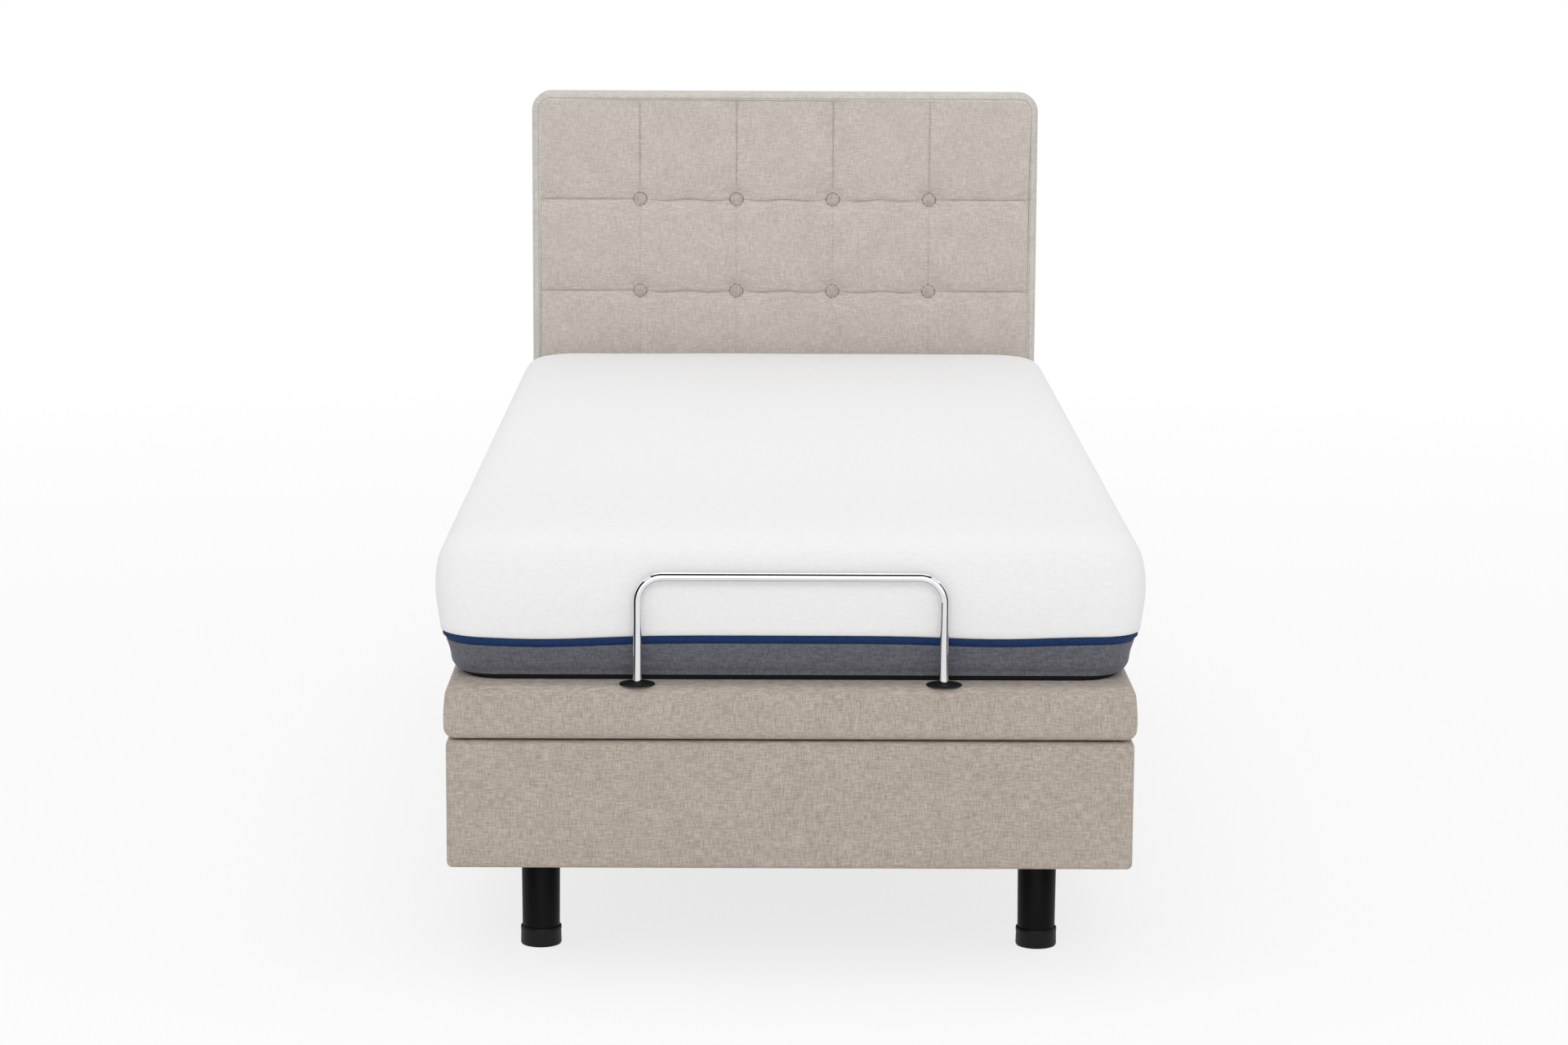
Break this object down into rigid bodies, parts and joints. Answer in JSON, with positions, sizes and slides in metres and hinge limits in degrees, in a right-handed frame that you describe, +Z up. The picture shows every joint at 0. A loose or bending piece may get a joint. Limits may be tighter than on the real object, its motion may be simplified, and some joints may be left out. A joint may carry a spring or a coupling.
{
  "type": "adjustable bed base",
  "caption": "Upholstered adjustable bed base with hinged deck sections, motor lift, folding mattress, retainer bar and tufted headboard.",
  "frame": {"origin": "floor level, midway between the bed's two sides and midway between its foot and head ends", "axes": "+X across the bed, to the right seen from the foot; +Y along the bed from foot to head; +Z up"},
  "size_m": [0.934, 2.102, 1.04],
  "materials": {
    "base_fabric": "matte",
    "leg_black": "satin",
    "cap_plastic": "satin",
    "frame_steel": "satin",
    "bright_steel": "satin",
    "roller_nylon": "matte",
    "motor_plastic": "matte",
    "bar_chrome": "polished",
    "headboard_fabric": "matte",
    "backing_cloth": "matte",
    "mattress_knit": "matte"
  },
  "bodies": {
    "root": {"foot_panel": "base_fabric", "head_panel": "base_fabric", "side_panel_left": "base_fabric", "side_panel_right": "base_fabric", "chassis_rail_left": "frame_steel", "chassis_rail_right": "frame_steel", "leg_foot_left": "leg_black", "leg_foot_right": "leg_black", "leg_head_left": "leg_black", "leg_head_right": "leg_black", "leg_cap_foot_left": "cap_plastic", "leg_cap_foot_right": "cap_plastic", "leg_cap_head_left": "cap_plastic", "leg_cap_head_right": "cap_plastic", "crossbar_foot": "frame_steel", "crossbar_head": "frame_steel", "crossbar_back_motor": "frame_steel", "crossbar_leg_motor": "frame_steel", "seat_deck": "base_fabric", "back_hinge_pin_left": "bright_steel", "back_hinge_pin_right": "bright_steel", "thigh_hinge_pin_left": "bright_steel", "thigh_hinge_pin_right": "bright_steel", "headboard_bracket_left": "frame_steel", "headboard_bracket_right": "frame_steel", "headboard_pad": "headboard_fabric", "headboard_board": "backing_cloth", "control_box": "motor_plastic", "mattress_seat": "mattress_knit"},
    "back_section": {"back_deck": "base_fabric", "back_rail_left": "frame_steel", "back_rail_right": "frame_steel", "mattress_back": "mattress_knit", "mattress_back_fold": "mattress_knit"},
    "thigh_section": {"thigh_deck": "base_fabric", "thigh_rail_left": "frame_steel", "thigh_rail_right": "frame_steel", "knee_hinge_pin_left": "bright_steel", "knee_hinge_pin_right": "bright_steel", "mattress_thigh": "mattress_knit", "mattress_thigh_fold": "mattress_knit"},
    "calf_section": {"calf_deck": "base_fabric", "calf_rail_left": "frame_steel", "calf_rail_right": "frame_steel", "bar_socket_left": "cap_plastic", "bar_socket_right": "cap_plastic", "mattress_calf": "mattress_knit"},
    "retainer_bar": {"retainer_bar": "bar_chrome"},
    "back_arm": {"back_lift_arm": "frame_steel"},
    "back_rollers": {"back_roller_left": "roller_nylon", "back_roller_right": "roller_nylon"},
    "leg_arm": {"leg_lift_arm": "frame_steel"},
    "leg_rollers": {"leg_roller_left": "roller_nylon", "leg_roller_right": "roller_nylon"},
    "foot_links": {"foot_link_left": "bright_steel", "foot_link_right": "bright_steel"},
    "back_actuator": {"back_motor": "motor_plastic"},
    "back_actuator_rod": {"back_rod": "bright_steel"},
    "leg_actuator": {"leg_motor": "motor_plastic"},
    "leg_actuator_rod": {"leg_rod": "bright_steel"}
  },
  "joints": [
    {"name": "back_lift", "type": "hinge", "parent": "root", "child": "back_section", "pos_m": [0, 0.209, 0.371], "axis": [1, 0, 0], "range_deg": [0, 60], "deforming": ["mattress_back_fold"]},
    {"name": "thigh_lift", "type": "hinge", "parent": "root", "child": "thigh_section", "pos_m": [0, -0.071, 0.371], "axis": [-1, 0, 0], "range_deg": [0, 32], "deforming": ["mattress_thigh_fold"]},
    {"name": "knee_fold", "type": "hinge", "parent": "thigh_section", "child": "calf_section", "pos_m": [0, -0.401, 0.324], "axis": [1, 0, 0], "range_deg": [0, 37]},
    {"name": "back_arm_turn", "type": "hinge", "parent": "root", "child": "back_arm", "pos_m": [0, 0.189, 0.281], "axis": [1, 0, 0], "range_deg": [0, 51]},
    {"name": "back_roller_turn", "type": "hinge", "parent": "back_arm", "child": "back_rollers", "pos_m": [0, 0.569, 0.3144], "axis": [1, 0, 0], "range_deg": [-206, 0]},
    {"name": "leg_arm_turn", "type": "hinge", "parent": "root", "child": "leg_arm", "pos_m": [0, -0.051, 0.281], "axis": [-1, 0, 0], "range_deg": [0, 26.3]},
    {"name": "leg_roller_turn", "type": "hinge", "parent": "leg_arm", "child": "leg_rollers", "pos_m": [0, -0.291, 0.3144], "axis": [-1, 0, 0], "range_deg": [-130, 0]},
    {"name": "foot_link_turn", "type": "hinge", "parent": "root", "child": "foot_links", "pos_m": [0, -0.49345, 0.34062], "axis": [-1, 0, 0], "range_deg": [0, 38.2]},
    {"name": "back_motor_tilt", "type": "hinge", "parent": "root", "child": "back_actuator", "pos_m": [0, -0.24532, 0.215], "axis": [1, 0, 0], "range_deg": [0, 0.9]},
    {"name": "back_rod_slide", "type": "slide", "parent": "back_actuator", "child": "back_actuator_rod", "axis": [0, 0.9996, 0.0284], "range_m": [0, 0.048]},
    {"name": "leg_motor_tilt", "type": "hinge", "parent": "root", "child": "leg_actuator", "pos_m": [0, 0.39239, 0.215], "axis": [1, 0, 0], "range_deg": [0, 1.1]},
    {"name": "leg_rod_slide", "type": "slide", "parent": "leg_actuator", "child": "leg_actuator_rod", "axis": [0, -0.9993, 0.0363], "range_m": [0, 0.0245]},
    {"name": "bar_slide", "type": "slide", "parent": "calf_section", "child": "retainer_bar", "axis": [0, 0, 1], "range_m": [0, 0.045]}
  ],
  "couplings": [
    {"joint": "knee_fold", "follows": "thigh_lift", "ratio": 1.15},
    {"joint": "back_arm_turn", "follows": "back_lift", "ratio": 0.843},
    {"joint": "back_roller_turn", "follows": "back_lift", "ratio": -3.4293},
    {"joint": "leg_arm_turn", "follows": "thigh_lift", "ratio": 0.819},
    {"joint": "leg_roller_turn", "follows": "thigh_lift", "ratio": -4.0474},
    {"joint": "foot_link_turn", "follows": "thigh_lift", "ratio": 1.1914},
    {"joint": "back_motor_tilt", "follows": "back_lift", "ratio": 0.01399},
    {"joint": "back_rod_slide", "follows": "back_lift", "m_per_rad": 0.045674},
    {"joint": "leg_motor_tilt", "follows": "thigh_lift", "ratio": 0.03358},
    {"joint": "leg_rod_slide", "follows": "thigh_lift", "m_per_rad": 0.043753}
  ]
}
